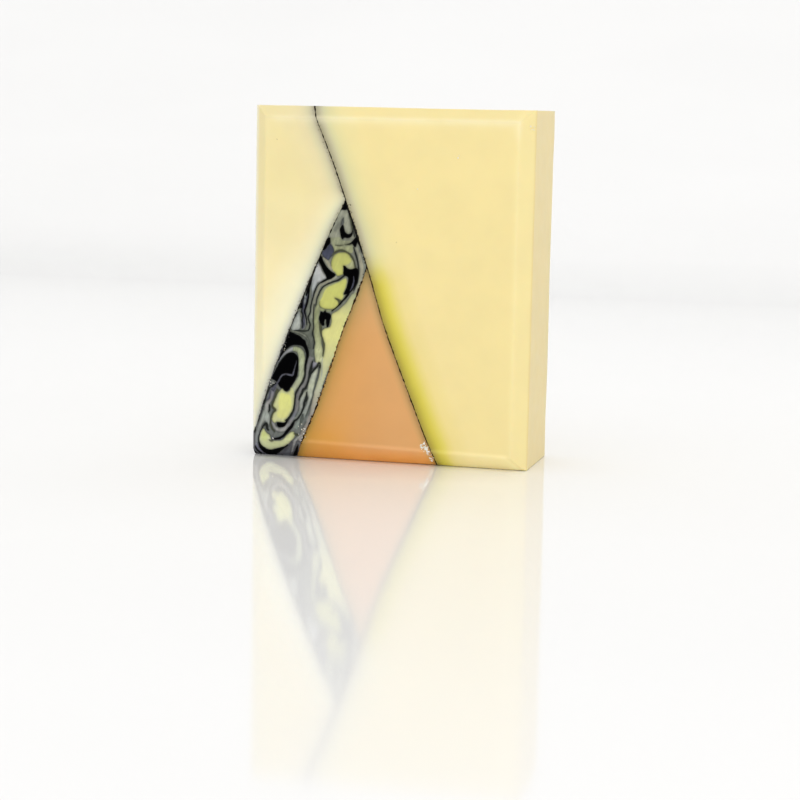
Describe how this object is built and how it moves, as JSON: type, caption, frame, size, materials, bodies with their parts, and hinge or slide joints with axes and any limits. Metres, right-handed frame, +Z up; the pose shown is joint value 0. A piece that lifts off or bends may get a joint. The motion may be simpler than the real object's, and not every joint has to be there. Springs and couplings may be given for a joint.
{
  "type": "soap bar",
  "caption": "Rectangular handmade soap bar standing on its narrow edge, with bevelled edges, a marbled wedge, a peach wedge and cream pours parted by thin charcoal lines.",
  "frame": {"origin": "middle of the base, on the plane that the bar stands on", "axes": "+X to the right across the decorated face, +Y from the decorated face to the back, +Z up"},
  "size_m": [0.0636, 0.027, 0.079],
  "materials": {
    "cream_soap": "satin cream-yellow soap",
    "pale_cream_soap": "satin pale cream soap",
    "peach_soap": "satin peach-orange soap",
    "grey_soap": "satin grey marbled soap",
    "lime_soap": "satin yellow-green soap",
    "black_soap": "satin charcoal-black soap",
    "charcoal_powder": "matt charcoal powder"
  },
  "bodies": {
    "root": {"cream_main_pour": "cream_soap", "cream_side_pour": "pale_cream_soap", "peach_wedge": "peach_soap", "marble_grey": "grey_soap", "marble_pale_strip": "lime_soap", "marble_yellow": "lime_soap", "marble_black": "black_soap", "charcoal_line_long": "charcoal_powder", "charcoal_line_left": "charcoal_powder", "charcoal_line_middle": "charcoal_powder"}
  },
  "joints": []
}
